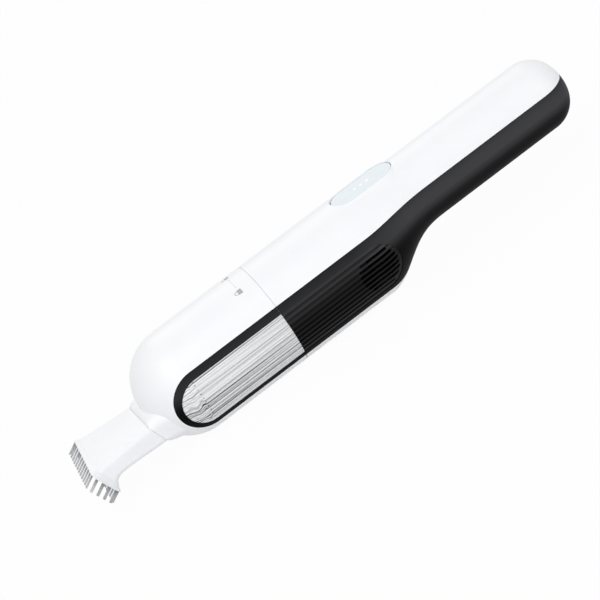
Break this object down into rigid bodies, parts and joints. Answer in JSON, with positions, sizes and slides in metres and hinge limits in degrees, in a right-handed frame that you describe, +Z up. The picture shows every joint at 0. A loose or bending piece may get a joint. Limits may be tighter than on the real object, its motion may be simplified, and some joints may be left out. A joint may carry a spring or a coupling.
{
  "type": "handheld vacuum cleaner",
  "caption": "Slim cordless handheld vacuum cleaner with a domed twist-off dust cup, clear ribbed windows, side exhaust vents, a top button and a plug-in brush nozzle.",
  "frame": {"origin": "middle of the resting flat under the belly", "axes": "+X along the body towards the handle end, +Z up towards the button, +Y to the right of a user who holds the handle and points the nozzle ahead"},
  "size_m": [0.3435, 0.0616, 0.0612],
  "materials": {
    "white_shell": "satin white moulded plastic",
    "black_shell": "matt black moulded plastic",
    "black_ribbed": "matt black ribbed plastic",
    "clear_window": "clear fluted plastic",
    "button": "pale blue-grey matt plastic",
    "light_dot": "white light guide",
    "nozzle": "satin white moulded plastic",
    "bristle": "mid-grey nylon",
    "inner_plastic": "dark grey moulded plastic",
    "pale_plastic": "pale grey moulded plastic",
    "seal": "soft black rubber",
    "filter_media": "pleated filter cloth",
    "motor_alloy": "plain alloy",
    "steel": "plain steel",
    "cell": "sleeved battery cell",
    "contact": "plated steel",
    "board": "green circuit board"
  },
  "bodies": {
    "main_body": {"top_shell": "white_shell", "lower_shell": "black_shell", "belly_cover": "white_shell", "exhaust_grille_left": "black_ribbed", "exhaust_grille_right": "black_ribbed", "front_bulkhead": "inner_plastic", "fan_shroud": "inner_plastic", "motor_can": "motor_alloy", "motor_end_cap": "inner_plastic", "motor_stator": "steel", "battery_holder": "inner_plastic", "battery_cells": "cell", "cell_contacts": "contact", "control_board": "board", "tact_switch": "inner_plastic", "board_screws": "steel", "case_screws": "steel", "charge_board": "board", "charging_port": "contact"},
    "power_button": {"power_button": "button", "button_lights": "light_dot"},
    "rotor": {"motor_shaft": "steel", "rotor_core": "steel", "impeller": "pale_plastic"},
    "lock_ring": {"lock_ring": "inner_plastic", "cup_seal": "seal"},
    "dust_cup": {"cup_shell": "white_shell", "window_frame_left": "black_shell", "window_frame_right": "black_shell", "window_left": "clear_window", "window_right": "clear_window", "inlet_duct": "pale_plastic", "flap_pin": "steel"},
    "inlet_flap": {"inlet_flap": "seal"},
    "brush_nozzle": {"brush_nozzle": "nozzle", "nozzle_seal": "seal", "brush_bristles": "bristle"},
    "filter": {"filter_frame": "inner_plastic", "filter_pleats": "filter_media", "filter_seal": "seal"}
  },
  "joints": [
    {"name": "button_press", "type": "slide", "parent": "main_body", "child": "power_button", "axis": [0, 0, -1], "range_m": [0, 0.001], "stiffness_N_per_m": 1500, "springref_m": -0.0003},
    {"name": "rotor_spin", "type": "hinge", "parent": "main_body", "child": "rotor", "pos_m": [0.0054, 0, 0.0302], "axis": [1, 0, 0], "continuous": true},
    {"name": "cup_twist", "type": "hinge", "parent": "main_body", "child": "lock_ring", "pos_m": [-0.0326, 0, 0.0302], "axis": [1, 0, 0], "range_deg": [0, 45]},
    {"name": "cup_pull", "type": "slide", "parent": "lock_ring", "child": "dust_cup", "axis": [-1, 0, 0], "range_m": [0, 0.1]},
    {"name": "nozzle_pull", "type": "slide", "parent": "dust_cup", "child": "brush_nozzle", "axis": [-1, 0, 0], "range_m": [0, 0.03]},
    {"name": "flap_swing", "type": "hinge", "parent": "dust_cup", "child": "inlet_flap", "pos_m": [-0.0887, 0, 0.029], "axis": [0, -1, 0], "range_deg": [0, 60], "stiffness_Nm_per_rad": 0.0006, "springref_deg": -11.46},
    {"name": "filter_pull", "type": "slide", "parent": "main_body", "child": "filter", "axis": [-1, 0, 0], "range_m": [0, 0.008]}
  ]
}
